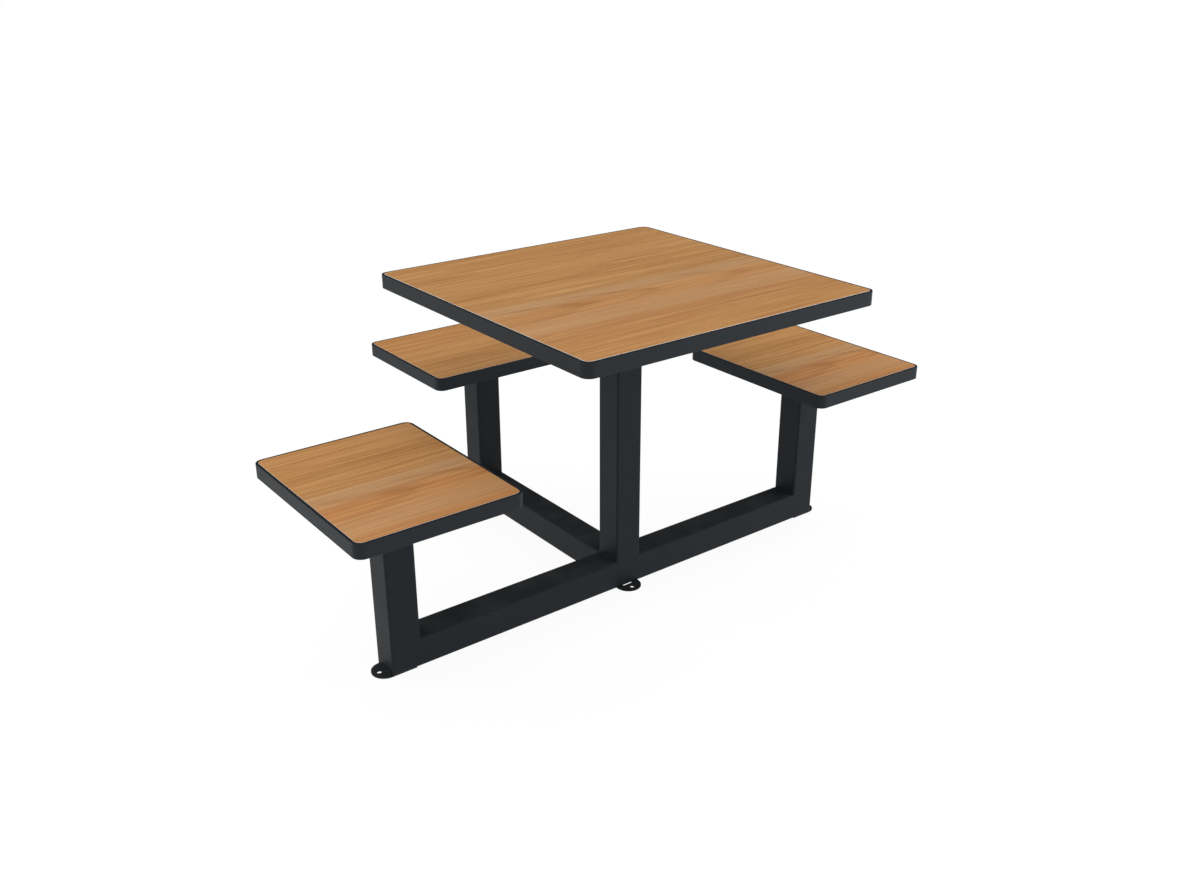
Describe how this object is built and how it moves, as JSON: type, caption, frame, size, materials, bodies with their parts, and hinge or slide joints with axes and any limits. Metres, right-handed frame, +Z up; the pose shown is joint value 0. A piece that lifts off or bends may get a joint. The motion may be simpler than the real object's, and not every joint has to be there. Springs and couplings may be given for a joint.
{
  "type": "table with attached swivel seats",
  "caption": "Square canteen table on a central post, with swivel seats on posts welded to the same tubular floor frame; one side is left open.",
  "frame": {"origin": "on the floor, under the centre of the table top, on the underside of the front anchor plate", "axes": "+Z up; X along the long beam from the left seat to the right seat; +Y towards the rear seat, so the side without a seat faces -Y"},
  "size_m": [1.564, 1.169, 0.745],
  "materials": {
    "powder_coat": "satin anthracite powder coat",
    "wood_laminate": "satin wood-effect laminate, straight grain along X",
    "board_core": "raw chipboard",
    "backing": "matt grey backing laminate",
    "edging": "satin anthracite edging",
    "bush_plastic": "natural acetal",
    "bright_steel": "ground steel",
    "spring_steel": "oiled spring steel",
    "black_steel": "blackened steel",
    "zinc_steel": "bright zinc plate"
  },
  "bodies": {
    "frame": {"long_beam": "powder_coat", "rear_beam": "powder_coat", "central_post": "powder_coat", "table_plate": "powder_coat", "front_anchor_plate": "powder_coat", "table_board": "board_core", "table_laminate": "wood_laminate", "table_backing": "backing", "table_edging": "edging", "table_screws": "black_steel", "table_inserts": "zinc_steel", "stop_screws": "black_steel", "left_post": "powder_coat", "left_anchor_plate": "powder_coat", "left_housing": "powder_coat", "left_upper_bush": "bush_plastic", "left_lower_bush": "bush_plastic", "left_thrust_washer": "bright_steel", "left_return_spring": "spring_steel", "right_post": "powder_coat", "right_anchor_plate": "powder_coat", "right_housing": "powder_coat", "right_upper_bush": "bush_plastic", "right_lower_bush": "bush_plastic", "right_thrust_washer": "bright_steel", "right_return_spring": "spring_steel", "rear_post": "powder_coat", "rear_anchor_plate": "powder_coat", "rear_housing": "powder_coat", "rear_upper_bush": "bush_plastic", "rear_lower_bush": "bush_plastic", "rear_thrust_washer": "bright_steel", "rear_return_spring": "spring_steel"},
    "left_seat": {"left_seat_board": "board_core", "left_seat_laminate": "wood_laminate", "left_seat_backing": "backing", "left_seat_edging": "edging", "left_seat_plate": "powder_coat", "left_spindle": "bright_steel", "left_seat_screws": "black_steel", "left_seat_inserts": "zinc_steel"},
    "right_seat": {"right_seat_board": "board_core", "right_seat_laminate": "wood_laminate", "right_seat_backing": "backing", "right_seat_edging": "edging", "right_seat_plate": "powder_coat", "right_spindle": "bright_steel", "right_seat_screws": "black_steel", "right_seat_inserts": "zinc_steel"},
    "rear_seat": {"rear_seat_board": "board_core", "rear_seat_laminate": "wood_laminate", "rear_seat_backing": "backing", "rear_seat_edging": "edging", "rear_seat_plate": "powder_coat", "rear_spindle": "bright_steel", "rear_seat_screws": "black_steel", "rear_seat_inserts": "zinc_steel"}
  },
  "joints": [
    {"name": "left_seat_swivel", "type": "hinge", "parent": "frame", "child": "left_seat", "pos_m": [-0.6, 0, 0.404], "axis": [0, 0, 1], "range_deg": [-90, 90], "stiffness_Nm_per_rad": 2, "deforming": ["left_return_spring"]},
    {"name": "right_seat_swivel", "type": "hinge", "parent": "frame", "child": "right_seat", "pos_m": [0.6, 0, 0.404], "axis": [0, 0, 1], "range_deg": [-90, 90], "stiffness_Nm_per_rad": 2, "deforming": ["right_return_spring"]},
    {"name": "rear_seat_swivel", "type": "hinge", "parent": "frame", "child": "rear_seat", "pos_m": [0, 0.6, 0.404], "axis": [0, 0, 1], "range_deg": [-90, 90], "stiffness_Nm_per_rad": 2, "deforming": ["rear_return_spring"]}
  ]
}
